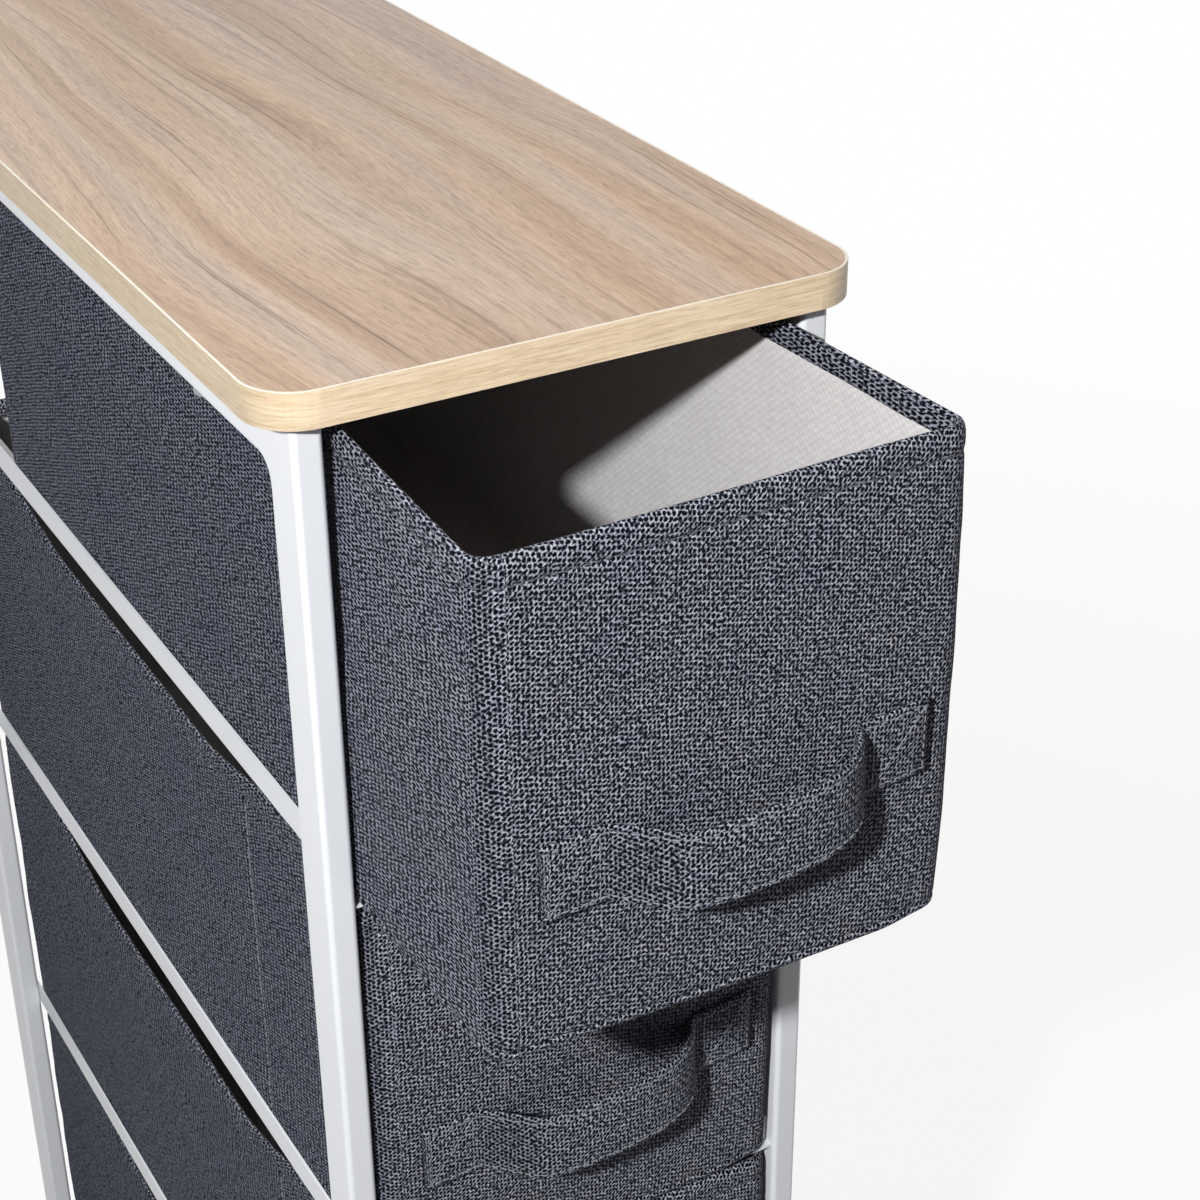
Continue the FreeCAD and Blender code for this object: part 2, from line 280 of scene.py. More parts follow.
def blur(tree, place, scale, detail=2.0, roughness=0.5, distortion=0.0):
    node = tree.nodes.new("ShaderNodeTexNoise")
    node.inputs["Scale"].default_value = scale
    node.inputs["Detail"].default_value = detail
    node.inputs["Roughness"].default_value = roughness
    node.inputs["Distortion"].default_value = distortion
    tree.links.new(place, node.inputs["Vector"])
    return node


def ripple(tree, place, across, up):
    """Cosine waves over a place on the cloth, with so many crests to a millimetre across and up."""
    turns = (2 * math.pi * across, 2 * math.pi * up, 0)
    return calc(tree, "COSINE", vector_calc(tree, "DOT_PRODUCT", place, turns).outputs["Value"])


def ramp(tree, value, stops):
    node = tree.nodes.new("ShaderNodeValToRGB")
    elements = node.color_ramp.elements
    while len(elements) < len(stops):
        elements.new(0.5)
    for element, (position, colour) in zip(elements, stops):
        element.position = position
        element.color = (*colour, 1)
    tree.links.new(value, node.inputs["Fac"])
    return node.outputs["Color"]


def mix_colour(tree, factor, a, b, blend="MIX"):
    """The node's colour sockets are inputs 6 and 7 and output 2."""
    node = tree.nodes.new("ShaderNodeMix")
    node.data_type = "RGBA"
    node.blend_type = blend
    feed(tree, node.inputs[0], factor)
    for socket, value in ((node.inputs[6], a), (node.inputs[7], b)):
        feed(tree, socket, (*value, 1) if isinstance(value, tuple) else value)
    return node.outputs[2]


def multiply(tree, colour, by, factor=1.0):
    return mix_colour(tree, factor, colour, by, "MULTIPLY")


def add_bump(tree, shader, height, depth, strength=1.0):
    node = tree.nodes.new("ShaderNodeBump")
    node.inputs["Strength"].default_value = strength
    node.inputs["Distance"].default_value = depth * MM
    tree.links.new(height, node.inputs["Height"])
    tree.links.new(node.outputs["Normal"], shader.inputs["Normal"])


# Woven polyester of the covers and straps: rows of pores between pale twisted threads

# Waves that make up the weave: crests to a millimetre across and up, and weight
WEAVE = (
    ((0.513, -0.583), 0.25),
    ((0.675, 0.0), 0.25),
    ((0.162, 0.583), 0.25),
    ((0.339, 0.288), -0.08),
    ((0.339, -0.283), 0.03),
    ((1.015, 0.583), 0.04),
    ((1.188, -0.583), -0.04),
)

# Middle of the weave's tones, about which the long sides have more contrast
MIDDLE_TONE = 0.49
SIDE_CONTRAST = 0.6

# How much painted shade darkens the cloth where it turns round a drawer's upright corner
CORNER_PAINTED_SHADE = 1.3

# Colour from pore to thread
THREAD_COLOURS = (
    (0.25, (0.0012, 0.0016, 0.004)),
    (0.42, (0.006, 0.007, 0.013)),
    (0.495, (0.044, 0.048, 0.064)),
    (0.58, (0.170, 0.178, 0.220)),
    (0.68, (0.370, 0.382, 0.450)),
    (0.84, (0.640, 0.660, 0.740)),
)


def woven_tone(tree, place):
    """Brightness of the threads at a place on the cloth, near 0 in a pore and near 1 on a thread."""
    moved = place
    for size, reach in ((0.12, 1.7), (0.7, 0.8)):
        source = blur(tree, place, size, 2.0)
        centred = vector_calc(tree, "SUBTRACT", source.outputs["Color"], (0.5, 0.5, 0.5))
        scaled = vector_calc(tree, "SCALE", centred.outputs[0])
        scaled.inputs["Scale"].default_value = reach
        moved = vector_calc(tree, "ADD", moved, scaled.outputs[0]).outputs[0]
    waves = 0.0
    for (across, up), weight in WEAVE:
        waves = calc(tree, "MULTIPLY_ADD", ripple(tree, moved, across, up), -0.6 * weight, waves)
    clear = calc(tree, "MULTIPLY_ADD", blur(tree, place, 0.3, 1.0).outputs["Fac"], 2.4, -0.15)
    mixed = blur(tree, place, 0.9, 3.0, 0.7).outputs["Fac"]
    ground = calc(tree, "MULTIPLY_ADD", mixed, 1.8, -0.41)
    return calc(tree, "MULTIPLY_ADD", waves, clear, ground)


def woven_material(name, brightness):
    """Cloth with the weave's tones and faint patches, denser on the long sides, with painted shade at the
    upright corners and on the long sides, darker towards the back.
    """
    material, tree, shader = new_material(name, 0.88)
    normal = apart(tree, tree.nodes.new("ShaderNodeNewGeometry").outputs["Normal"])
    across = calc(tree, "ABSOLUTE", normal["X"])
    flat_side = calc(tree, "GREATER_THAN", across, 0.97)
    closer = tree.nodes.new("ShaderNodeCombineXYZ")
    closer.inputs["X"].default_value = 1.0
    tree.links.new(calc(tree, "MULTIPLY_ADD", flat_side, SIDE_ROWS - 1, 1.0), closer.inputs["Y"])
    place = vector_calc(tree, "MULTIPLY", cloth_place(tree), closer.outputs[0]).outputs[0]
    contrast = calc(tree, "MULTIPLY_ADD", flat_side, SIDE_CONTRAST, 1.0)
    spread = calc(tree, "SUBTRACT", woven_tone(tree, place), MIDDLE_TONE)
    tone = calc(tree, "MULTIPLY_ADD", spread, contrast, MIDDLE_TONE)
    stops = [(at, tuple(value * brightness for value in colour)) for at, colour in THREAD_COLOURS]
    colour = ramp(tree, tone, stops)

    patches = blur(tree, place, 0.045, 3.0, 0.6).outputs["Fac"]
    tint = ramp(tree, patches, [(0.35, (0.92, 0.93, 0.99)), (0.65, (1.08, 1.06, 1.03))])
    colour = multiply(tree, colour, tint)
    # Painted shade where the cloth turns round an upright corner
    turning = calc(tree, "MULTIPLY", across, calc(tree, "ABSOLUTE", normal["Y"]))
    edge = calc(tree, "MULTIPLY_ADD", calc(tree, "MULTIPLY", turning, turning), -CORNER_PAINTED_SHADE, 1.0)
    painted_corner_shade = tree.nodes.new("ShaderNodeCombineColor")
    for channel in ("Red", "Green", "Blue"):
        tree.links.new(edge, painted_corner_shade.inputs[channel])
    colour = multiply(tree, colour, painted_corner_shade.outputs[0])

    # Painted shade: the long sides are darkened, and more so towards the back
    sides = calc(tree, "POWER", across, 3.0)
    depth = calc(tree, "ADD", apart(tree, object_place(tree, (0.01, 0.01, 0.01)))["Y"], 2.2)
    painted_side_shade = ramp(tree, depth, [(0.1, (0.60, 0.61, 0.65)), (1.0, (0.46, 0.48, 0.53))])
    colour = mix_colour(tree, sides, colour, multiply(tree, colour, painted_side_shade))
    tree.links.new(colour, shader.inputs["Base Color"])
    shader.inputs["Specular IOR Level"].default_value = 0.08
    add_bump(tree, shader, tone, 0.36, 0.8)
    return material


def thread_material(name, colour):
    """Twisted sewing thread."""
    material, tree, shader = new_material(name, 0.6)
    place = object_place(tree, (1, 1, 1))
    twist = blur(tree, place, 2.4, 2.0).outputs["Fac"]
    dark = tuple(0.55 * value for value in colour)
    tree.links.new(ramp(tree, twist, [(0.35, dark), (0.65, colour)]), shader.inputs["Base Color"])
    add_bump(tree, shader, twist, 0.1)
    return material


def lining_material():
    """Pale pressed felt, embossed with slanting rows of small oval dots."""
    material, tree, shader = new_material("lining", 0.9)
    place = cloth_place(tree)
    dots = calc(tree, "ADD", ripple(tree, place, 0.62, 0.36), ripple(tree, place, 0.62, -0.36))
    felt = blur(tree, place, 0.5, 4.0, 0.65).outputs["Fac"]
    tone = calc(tree, "MULTIPLY_ADD", dots, 0.09, felt)
    colour = ramp(
        tree,
        tone,
        [(0.2, (0.51, 0.495, 0.495)), (0.5, (0.58, 0.565, 0.565)), (0.85, (0.69, 0.675, 0.675))],
    )
    tree.links.new(colour, shader.inputs["Base Color"])
    shader.inputs["Specular IOR Level"].default_value = 0.2
    add_bump(tree, shader, tone, 0.18, 0.7)
    return material


def laminate_material():
    """Printed wood laminate: soft swaying bands, thin dark year lines and short pores along the depth."""
    material, tree, shader = new_material("laminate", 0.42)
    sway = blur(tree, object_place(tree, (0.011, 0.0035, 0.01)), 1.0, 1.0).outputs["Fac"]
    aside = tree.nodes.new("ShaderNodeCombineXYZ")
    tree.links.new(calc(tree, "MULTIPLY_ADD", sway, 46.0, -23.0), aside.inputs["X"])
    bent = vector_calc(tree, "ADD", object_place(tree, (1, 1, 1)), aside.outputs[0])

    def layer(scale, detail, roughness):
        mapping = tree.nodes.new("ShaderNodeMapping")
        mapping.inputs["Scale"].default_value = scale
        tree.links.new(bent.outputs[0], mapping.inputs["Vector"])
        return blur(tree, mapping.outputs["Vector"], 1.0, detail, roughness).outputs["Fac"]

    wide = layer((0.045, 0.0022, 0.05), 2.0, 0.5)
    hue = layer((0.03, 0.0015, 0.02), 2.0, 0.5)
    narrow = layer((0.16, 0.0030, 0.3), 6.0, 0.72)
    thin = layer((0.55, 0.0040, 0.6), 3.0, 0.6)
    pores = layer((1.4, 0.10, 1.2), 3.0, 0.75)
    colour = ramp(
        tree,
        wide,
        [
            (0.30, (0.400, 0.272, 0.182)),
            (0.43, (0.458, 0.326, 0.226)),
            (0.51, (0.515, 0.384, 0.284)),
            (0.60, (0.452, 0.343, 0.266)),
            (0.72, (0.500, 0.383, 0.298)),
        ],
    )
    tint = [(0.38, (1.05, 0.985, 0.91)), (0.60, (0.985, 1.0, 1.04))]
    streaks = [(0.30, (0.76, 0.72, 0.68)), (0.44, (0.955, 0.95, 0.94)), (0.62, (1.07, 1.07, 1.07))]
    lines = [(0.31, (0.52, 0.45, 0.40)), (0.38, (0.93, 0.92, 0.91)), (0.64, (1.07, 1.07, 1.07))]
    grain = [(0.32, (0.72, 0.69, 0.66)), (0.50, (1, 1, 1)), (0.68, (1.17, 1.17, 1.17))]
    prints = ((hue, tint, 1.0), (narrow, streaks, 0.8), (thin, lines, 0.9), (pores, grain, 1.0))
    for value, stops, factor in prints:
        colour = multiply(tree, colour, ramp(tree, value, stops), factor)
    tree.links.new(colour, shader.inputs["Base Color"])
    add_bump(tree, shader, pores, 0.08, 0.7)
    return material


def band_material():
    """Printed edge tape with grain along the edge, painted shade on its left and right ends, cut to a pale
    line at its top and bottom.
    """
    material, tree, shader = new_material("edge_band", 0.4)
    grain = blur(tree, object_place(tree, (0.03, 0.03, 1.4)), 1.0, 4.0, 0.6, 0.25).outputs["Fac"]
    fine = blur(tree, object_place(tree, (0.11, 0.11, 1.5)), 1.0, 4.0, 0.75).outputs["Fac"]
    colour = ramp(
        tree,
        grain,
        [
            (0.3, (0.68, 0.505, 0.32)),
            (0.48, (0.80, 0.635, 0.435)),
            (0.6, (0.845, 0.68, 0.485)),
            (0.75, (0.885, 0.745, 0.56)),
        ],
    )
    shade = ramp(tree, fine, [(0.32, (0.74, 0.69, 0.62)), (0.5, (1.0, 1.0, 1.0)), (0.68, (1.14, 1.14, 1.16))])
    colour = multiply(tree, colour, shade, 0.8)
    # Painted shade: the tape's left and right ends are darker
    normal = apart(tree, tree.nodes.new("ShaderNodeNewGeometry").outputs["True Normal"])
    sides = calc(tree, "ABSOLUTE", normal["X"])
    colour = mix_colour(tree, sides, colour, multiply(tree, colour, (0.67, 0.67, 0.65)))
    cut = calc(tree, "GREATER_THAN", calc(tree, "ABSOLUTE", normal["Z"]), 0.35)
    colour = mix_colour(tree, cut, colour, (0.80, 0.73, 0.63))
    tree.links.new(colour, shader.inputs["Base Color"])
    add_bump(tree, shader, fine, 0.03, 0.5)
    return material


def paint_material(name, level):
    """White powder coat with a faint orange peel."""
    material, tree, shader = new_material(name, 0.36)
    peel = blur(tree, object_place(tree, (1, 1, 1)), 0.9, 3.0).outputs["Fac"]
    cloudy = blur(tree, object_place(tree, (1, 1, 1)), 0.02, 3.0).outputs["Fac"]
    dark = (0.96 * level, 0.98 * level, 1.02 * level)
    light = (0.99 * level, 1.01 * level, 1.05 * level)
    colour = ramp(tree, cloudy, [(0.3, dark), (0.7, light)])
    tree.links.new(colour, shader.inputs["Base Color"])
    add_bump(tree, shader, peel, 0.025, 0.5)
    return material


def plastic_material():
    material, tree, shader = new_material("black_plastic", 0.55)
    grain = blur(tree, object_place(tree, (1, 1, 1)), 2.5, 2.0).outputs["Fac"]
    colour = ramp(tree, grain, [(0.3, (0.018, 0.018, 0.019)), (0.7, (0.035, 0.035, 0.037))])
    tree.links.new(colour, shader.inputs["Base Color"])
    add_bump(tree, shader, grain, 0.05)
    return material


def zinc_material():
    material, tree, shader = new_material("zinc", 0.28)
    shader.inputs["Metallic"].default_value = 1.0
    brushed = blur(tree, object_place(tree, (1, 1, 6)), 1.6, 3.0).outputs["Fac"]
    colour = ramp(tree, brushed, [(0.3, (0.26, 0.28, 0.32)), (0.7, (0.46, 0.48, 0.52))])
    tree.links.new(colour, shader.inputs["Base Color"])
    add_bump(tree, shader, brushed, 0.02, 0.6)
    return material


def board_material(name, dark, light):
    """Grey board or brown fibreboard inside a drawer, hidden between its layers."""
    material, tree, shader = new_material(name, 0.9)
    fibres = blur(tree, object_place(tree, (1, 1, 1)), 0.8, 4.0, 0.7).outputs["Fac"]
    tree.links.new(ramp(tree, fibres, [(0.3, dark), (0.7, light)]), shader.inputs["Base Color"])
    add_bump(tree, shader, fibres, 0.1)
    return material


# Meshes


def mesh_object(name, points, faces):
    mesh = bpy.data.meshes.new(name)
    mesh.from_pydata(points, [], faces)
    mesh.update()
    made = bpy.data.objects.new(name, mesh)
    bpy.context.scene.collection.objects.link(made)
    return made


def shade_smooth(made):
    made.data.polygons.foreach_set("use_smooth", [True] * len(made.data.polygons))


def lay_cloth(made, places):
    """Give each corner of each face its place on the cloth, in millimetres."""
    layer = made.data.uv_layers.new(name="cloth")
    for loop, place in enumerate(places):
        layer.data[loop].uv = place


def closed_skin(name, rows, along, heights, cap):
    """Loft through rows of points round a drawer. The last row is closed by a level face if cap is set."""
    count = len(rows[0])
    points = [point * MM for row in rows for point in row]
    faces = []
    places = []
    for i in range(len(rows) - 1):
        for j in range(count):
            k = (j + 1) % count
            faces.append((i * count + j, i * count + k, (i + 1) * count + k, (i + 1) * count + j))
            places += [
                (along[j], heights[i]),
                (along[j + 1], heights[i]),
                (along[j + 1], heights[i + 1]),
                (along[j], heights[i + 1]),
            ]
    if cap:
        last = len(rows) - 1
        faces.append(tuple(last * count + j for j in range(count)))
        places += [(point.x, point.y) for point in rows[last]]
    made = mesh_object(name, points, faces)
    lay_cloth(made, places)
    shade_smooth(made)
    return made


def stations():
    """Points round a drawer's outer face, each as x, y from its front and outward normal, and their runs."""
    half, length, r = DRAWER_HALF, DRAWER_LENGTH, CORNER
    found = []

    def straight(start, end, normal, step, seam=None):
        reach = (end - start).length
        count = max(2, round(reach / step))
        runs = [reach * i / count for i in range(count)]
        if seam is not None:
            runs += [seam + offset for offset in (-1.6, -0.8, 0.0, 0.8, 1.6)]
        for run in sorted(runs):
            found.append((start.lerp(end, run / reach), normal))

    def turn(centre, first):
        for i in range(9):
            angle = math.radians(first + 90 * i / 9)
            normal = Vector((math.cos(angle), math.sin(angle)))
            found.append((centre + r * normal, normal))

    x, near, far = half - r, r, length - r
    straight(Vector((-x, 0)), Vector((x, 0)), Vector((0, -1)), END_STEP)
    turn(Vector((x, near)), -90)
    straight(Vector((half, near)), Vector((half, far)), Vector((1, 0)), SIDE_STEP, SEAM - near)
    turn(Vector((x, far)), 0)
    straight(Vector((x, length)), Vector((-x, length)), Vector((0, 1)), END_STEP)
    turn(Vector((-x, far)), 90)
    straight(Vector((-half, far)), Vector((-half, near)), Vector((-1, 0)), SIDE_STEP, far - SEAM)
    turn(Vector((-x, near)), 180)
    along = [0.0]
    for (a, first), (b, second) in zip(found, found[1:] + found[:1]):
        stretch = SIDE_STRETCH if abs(first.x + second.x) > 1.99 else 1.0
        along.append(along[-1] + (b - a).length * stretch)
    return found, along


STATIONS, ALONG = stations()


def smooth(start, end, value):
    """0 up to start, 1 from end on, and a soft step between them."""
    part = min(max((value - start) / (end - start), 0.0), 1.0)
    return part * part * (3 - 2 * part)


def give(number, x, y, h):
    """How far the cloth has moved from a neat box, at x across, y from the front and h up."""
    across = x / DRAWER_HALF
    run = min(max(y / DRAWER_LENGTH, 0.0), 1.0)
    up = min(max(h / DRAWER_HEIGHT, 0.0), 1.0)
    arch = math.sin(math.pi * run)
    bow = BOW[number] * arch**1.2 * up**0.9 * across**2
    slack = arch
    if number != 1:
        from_front = smooth(SLACK_START, SLACK_FULL, y)
        slack = from_front * smooth(SLACK_START, SLACK_FULL, DRAWER_LENGTH - y)
    sag = SAG[number] * slack * up**2.5 * across**2
    near_front = math.exp(-((y / END_REACH) ** 2))
    near_back = math.exp(-(((DRAWER_LENGTH - y) / END_REACH) ** 2))
    belly = math.sin(math.pi * up)
    swell = math.cos(0.5 * math.pi * min(abs(across), 1.0))
    moved = Vector((-math.copysign(bow, x), 0, -sag))

    # The end walls swell a little, and take the ends of the long sides with them
    moved.x += math.copysign(1.0, x) * 0.9 * belly * (near_front + near_back) * abs(across) ** 6
    moved.y -= (0.8 * swell + 1.1) * belly * near_front
    moved.y += 0.8 * swell * belly * near_back

    # The front's bottom edge hangs lower in the middle and on the right
    hang = max(0.0, 1 - h / 40) * near_front * smooth(-0.9, 0.1, across) * smooth(0.93, 0.7, across)
    moved.z -= 2.4 * hang

    # The front's top corners have settled
    left_drop, right_drop = TOP_DROP[number]
    corner_drop = left_drop * smooth(0.9, -0.9, across) + right_drop * smooth(-0.9, 0.9, across)
    moved.z -= corner_drop * up**2 * math.exp(-((y / 95) ** 2))
    return moved


def creases(number, x, y, h):
    """Small soft unevenness of the cloth, outwards if positive."""
    place = Vector((x, y, h)) + Vector((0, 0, 400.0 * number))
    fade = min(1.0, h / 14, max(0.0, (DRAWER_HEIGHT - h) / 10))
    return fade * (0.55 * noise.noise(place / 38) + 0.28 * noise.noise(place / 13))


def layer_point(number, station, inset_end, inset_side, h, front, base, rough=1.0, groove=0.45):
    """Point of a drawer's layer, in millimetres in the part's frame. The insets are from the outer face."""
    flat, normal = station
    inset = inset_side + (inset_end - inset_side) * min(1.0, abs(normal.y) ** 2)
    outward = -inset + rough * creases(number, flat.x, flat.y, h)
    if abs(normal.x) > 0.99:
        outward -= groove * math.exp(-(((flat.y - SEAM) / 0.9) ** 2))
    x = flat.x + normal.x * outward
    y = flat.y + normal.y * outward
    return Vector((x, front + y, base + h)) + give(number, flat.x, flat.y, h)


def outer_profile():
    """Rows of a cover from the floor round the bottom edge, up the wall, over the hem and down inside.

    Each is its inset at the ends, its inset at the sides and its height.
    """
    rows = [(9.0, 9.0, 0.0), (4.0, 4.0, 0.0), (2.0, 2.0, 0.1)]
    rows += [(0.9, 0.9, 0.5), (0.25, 0.25, 1.3), (0.0, 0.0, 2.4)]
    rows += [(0.15, 0.15, 3.2), (0.75, 0.75, 3.7), (0.15, 0.15, 4.2), (0.0, 0.0, 5.2)]
    height = 9.0
    while height < 158:
        rows.append((0.0, 0.0, height))
        height += 4.0
    rows += [(0.0, 0.0, 159.4), (0.1, 0.1, 160.2), (0.6, 0.6, HEM_LINE), (0.1, 0.1, 161.5)]
    rows += [(-0.15, -0.15, 162.6), (-0.25, -0.25, 165.0), (-0.1, -0.1, 167.4), (0.35, 0.15, 168.8)]
    rows += [(1.2, 0.6, 169.7), (2.2, 1.2, DRAWER_HEIGHT), (3.2, 1.8, 169.7), (4.0, 2.25, 168.8)]
    rows += [(4.4, 2.4, 167.4), (4.45, 2.45, 164.0), (4.4, 2.4, 161.6)]
    rows += [(4.1, 2.1, 161.0), (3.4, 1.5, HEM_LINE)]
    return rows


def run_lengths(rows):
    """How far the cloth has run at each row of a profile."""
    lengths = [0.0]
    for a, b in zip(rows, rows[1:]):
        lengths.append(lengths[-1] + math.hypot(b[0] - a[0], b[2] - a[2]))
    return lengths


def make_cover(number, front, base, material):
    profile = outer_profile()
    rows = [[layer_point(number, s, end, side, h, front, base) for s in STATIONS] for end, side, h in profile]
    cover = closed_skin(f"drawer_{number}_fabric", rows[::-1], ALONG, run_lengths(profile)[::-1], True)
    cover.data.materials.append(material)
    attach(cover, f"drawer_{number}")
    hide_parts(f"drawer_{number}_cover")


def make_lining(number, front, base, material):
    profile = [(3.4, 1.5, 163.5), (4.0, 2.0, 161.4)]
    height = 156.0
    while height > 10:
        profile.append((4.0, 2.0, height))
        height -= 5.0
    profile += [(4.1, 2.1, 7.6), (4.6, 2.6, 6.0), (5.6, 3.6, 5.2), (8.0, 6.0, 5.0)]
    rows = []
    for end, side, h in profile:
        row = [layer_point(number, s, end, side, h, front, base, rough=0.8, groove=0.0) for s in STATIONS]
        rows.append(row)
    lining = closed_skin(f"drawer_{number}_inner", rows, ALONG, run_lengths(profile), True)
    lining.data.materials.append(material)
    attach(lining, f"drawer_{number}")
    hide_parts(f"drawer_{number}_lining")


def make_stiffener(number, front, base, material, is_front):
    """Cardboard plate between the cover and the lining of the front or the back wall."""
    facing = -1 if is_front else 1
    y = 0.0 if is_front else DRAWER_LENGTH
    half, bottom, height = 71.5, 1.4, 167.0
    columns, rows = 25, 22
    points = []
    for inset in (1.25, 3.2):
        for i in range(rows):
            h = bottom + height * i / (rows - 1)
            for j in range(columns):
                station = (Vector((-half + 2 * half * j / (columns - 1), y)), Vector((0, facing)))
                points.append(layer_point(number, station, inset, inset, h, front, base) * MM)
    layer = rows * columns
    faces = []
    for i in range(rows - 1):
        for j in range(columns - 1):
            a, b = i * columns + j, i * columns + j + 1
            faces.append((a, b, b + columns, a + columns))
            faces.append((layer + a, layer + a + columns, layer + b + columns, layer + b))
    rim = list(range(columns))
    rim += [i * columns + columns - 1 for i in range(1, rows)]
    rim += [(rows - 1) * columns + j for j in range(columns - 2, -1, -1)]
    rim += [i * columns for i in range(rows - 2, 0, -1)]
    for a, b in zip(rim, rim[1:] + rim[:1]):
        faces.append((b, a, layer + a, layer + b))
    end = "front" if is_front else "back"
    plate = mesh_object(f"drawer_{number}_{end}_card", points, faces)
    plate.data.materials.append(material)
    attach(plate, f"drawer_{number}")
    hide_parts(f"drawer_{number}_{end}_stiffener")


# Rings of a stitch: how far along it, how far out in thread widths, and thickness
STITCH = ((0.0, -0.35, 0.45), (0.2, 0.15, 1.0), (0.5, 0.3, 1.05), (0.8, 0.15, 1.0), (1.0, -0.35, 0.45))
STITCH_SIDES = 6


def add_stitch(points, faces, start, end, normal, radius):
    """A short thread that dips into the cloth at both ends."""
    direction = (end - start).normalized()
    sideways = direction.cross(normal).normalized()
    first = len(points)
    for part, lift, size in STITCH:
        middle = start.lerp(end, part) + normal * (lift * radius * 2)
        for turn in range(STITCH_SIDES):
            angle = math.pi * turn / (STITCH_SIDES / 2)
            offset = sideways * math.cos(angle) + normal * math.sin(angle)
            points.append((middle + offset * (radius * size)) * MM)
    for ring in range(len(STITCH) - 1):
        for turn in range(STITCH_SIDES):
            a = first + ring * STITCH_SIDES + turn
            b = first + ring * STITCH_SIDES + (turn + 1) % STITCH_SIDES
            faces.append((a, b, b + STITCH_SIDES, a + STITCH_SIDES))
    last = first + (len(STITCH) - 1) * STITCH_SIDES
    faces.append(tuple(first + turn for turn in range(STITCH_SIDES - 1, -1, -1)))
    faces.append(tuple(last + turn for turn in range(STITCH_SIDES)))


def walk(line, length, gap):
    """Start and end of each stitch along a line of points, near the given length and gap."""
    total = sum((b - a).length for a, b in zip(line, line[1:]))
    count = max(1, int(total / (length + gap)))
    step = total / count

    def at(distance):
        left = distance
        for a, b in zip(line, line[1:]):
            part = (b - a).length
            if left <= part:
                return a.lerp(b, left / part)
            left -= part
        return line[-1]

    return [(at(i * step + 0.5 * gap), at(i * step + step - 0.5 * gap)) for i in range(count)]


def make_hem_stitches(number, front, base, material):
    points, faces = [], []
    line = [layer_point(number, s, 0.45, 0.45, HEM_LINE, front, base) for s in STATIONS]
    line.append(line[0])
    middle = Vector((0, front + DRAWER_LENGTH / 2, 0))
    for start, end in walk(line, length=2.6, gap=0.7):
        direction = (end - start).normalized()
        normal = direction.cross(Vector((0, 0, 1)))
        if normal.dot(start - middle) < 0:
            normal = -normal
        add_stitch(points, faces, start, end, normal, 0.26)
    stitches = mesh_object(f"drawer_{number}_hem_stitches", points, faces)
    shade_smooth(stitches)
    stitches.data.materials.append(material)
    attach(stitches, f"drawer_{number}")


def make_side_seams(number, front, base, material):
    points, faces = [], []
    for side in (-1, 1):
        station = (Vector((side * DRAWER_HALF, SEAM)), Vector((side, 0)))
        line = [layer_point(number, station, 0.0, -0.25, 5.0 + 4.0 * i, front, base) for i in range(39)]
        for start, end in walk(line, length=2.4, gap=1.0):
            add_stitch(points, faces, start, end, Vector((side, 0, 0)), 0.22)
    seams = mesh_object(f"drawer_{number}_side_seams", points, faces)
    shade_smooth(seams)
    seams.data.materials.append(material)
    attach(seams, f"drawer_{number}")


# Strap handle: middle line as x, how far it stands out, and its droop
STRAP = (
    (-65.0, 1.4, 0.0),
    (-60.0, 1.4, 0.0),
    (-54.0, 1.5, 0.0),
    (-48.0, 1.5, 0.0),
    (-45.0, 1.5, 0.0),
    (-43.2, 2.0, 0.0),
    (-41.4, 3.7, 0.0),
    (-39.0, 6.0, 0.1),
    (-36.0, 9.0, 0.2),
    (-32.8, 12.2, 0.4),
    (-30.0, 14.7, 0.6),
    (-27.6, 16.4, 0.8),
    (-24.0, 17.5, 1.0),
    (-18.0, 18.3, 1.2),
    (-10.0, 18.8, 1.4),
    (0.0, 18.8, 1.5),
    (9.0, 18.8, 1.5),
    (17.5, 18.2, 1.4),
    (25.0, 16.9, 1.1),
    (31.0, 14.6, 0.8),
    (35.4, 11.5, 0.5),
    (38.2, 8.3, 0.3),
    (40.0, 5.3, 0.1),
    (41.0, 3.1, 0.0),
    (42.2, 1.8, 0.0),
    (45.0, 1.5, 0.0),
    (50.0, 1.5, 0.0),
    (56.0, 1.5, 0.0),
    (62.0, 1.4, 0.0),
    (67.0, 1.4, 0.0),
)


def strap_frames(number, front, base):
    """Middle, outward and upward directions along the strap."""
    middle_z = base + DRAWER_HEIGHT - STRAP_DROP
    frames = []
    for i, (x, out, droop) in enumerate(STRAP):
        before = STRAP[max(i - 1, 0)]
        after = STRAP[min(i + 1, len(STRAP) - 1)]
        run = Vector((after[0] - before[0], -(after[1] - before[1]), 0)).normalized()
        outward = Vector((0, 0, 1)).cross(run) * -1
        lean = STRAP_LEAN * min(1.0, (out - STRAP_SEWN) / 12)
        upward = (Vector((0, 0, 1)) * math.cos(lean) - outward * math.sin(lean)).normalized()
        outward = (outward * math.cos(lean) + Vector((0, 0, 1)) * math.sin(lean)).normalized()
        wall = give(number, x, 0, middle_z - base).y
        z = middle_z + 1.1 - STRAP_DROOP * droop + STRAP_SLOPE * x
        frames.append((Vector((x, front - out + wall, z)), outward, upward))
    return frames


def strap_ring():
    """Outline across the strap, as how far up and how far out, with a groove for each row of stitches."""
    half, seam = STRAP_HALF, STRAP_HALF - STRAP_SEAM
    ring = [(-half, 0.0), (-half + 0.35, 0.75), (-half + 1.1, 1.05), (-seam, 0.8), (-half + 3.4, 1.2)]
    ring += [(-4.0, 1.25), (4.0, 1.25)]
    ring += [(half - 3.4, 1.2), (seam, 0.8), (half - 1.1, 1.05), (half - 0.35, 0.75), (half, 0.0)]
    ring += [(half - 0.35, -0.75), (half - 1.1, -1.1), (4.0, -1.2), (-4.0, -1.2)]
    ring += [(-half + 1.1, -1.1), (-half + 0.35, -0.75)]
    return ring


